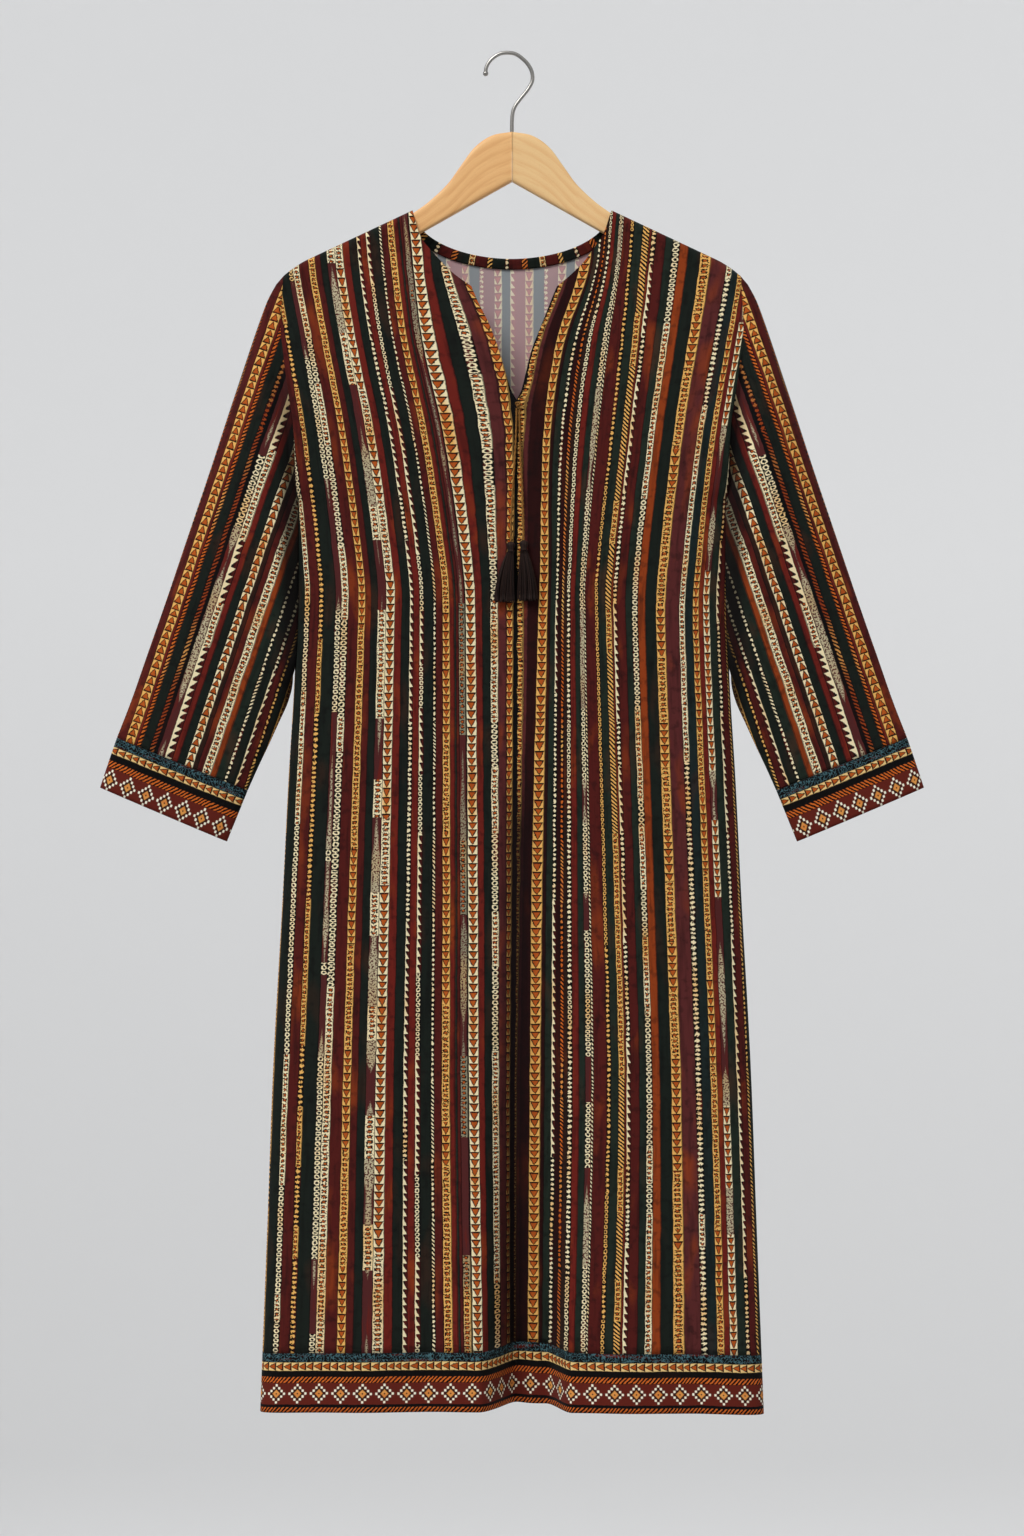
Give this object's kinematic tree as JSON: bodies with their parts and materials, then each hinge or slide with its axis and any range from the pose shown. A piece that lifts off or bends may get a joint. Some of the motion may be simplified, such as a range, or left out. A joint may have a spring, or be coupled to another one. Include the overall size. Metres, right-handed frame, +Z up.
{
  "type": "tunic dress on a wooden hanger",
  "caption": "Long striped tunic dress with three-quarter sleeves, a slit neck with tasselled ties and a patterned border, hanging flat on a wooden hanger with a steel hook.",
  "frame": {"origin": "underside of the hook's crown, where it lies on the rail, in the middle of the garment's thickness", "axes": "+Z up, -Y the garment's front, +X to the right seen from the front"},
  "size_m": [0.8286, 0.0838, 1.3707],
  "materials": {
    "printed_cloth": "light woven cloth printed in upright stripes of maroon, dark green, cream and gold",
    "border_cloth": "the same cloth printed in bands, the widest with a row of dotted diamonds",
    "binding_cloth": "narrow binding cut across the stripes",
    "tie_thread": "twisted cord",
    "tassel_thread": "loose shiny thread",
    "hanger_wood": "clear satin lacquer on pale wood",
    "hook_steel": "satin bent wire"
  },
  "bodies": {
    "root": {"front_panel": "printed_cloth", "back_panel": "printed_cloth", "hem_border": "border_cloth", "neck_binding": "binding_cloth", "sleeve_left": "printed_cloth", "cuff_left": "border_cloth", "sleeve_right": "printed_cloth", "cuff_right": "border_cloth", "tie_knot": "tie_thread", "tie_cord_left": "tie_thread", "tassel_left": "tassel_thread", "tie_cord_right": "tie_thread", "tassel_right": "tassel_thread", "hanger_arm_left": "hanger_wood", "hanger_arm_right": "hanger_wood", "hanger_hook": "hook_steel"}
  },
  "joints": []
}
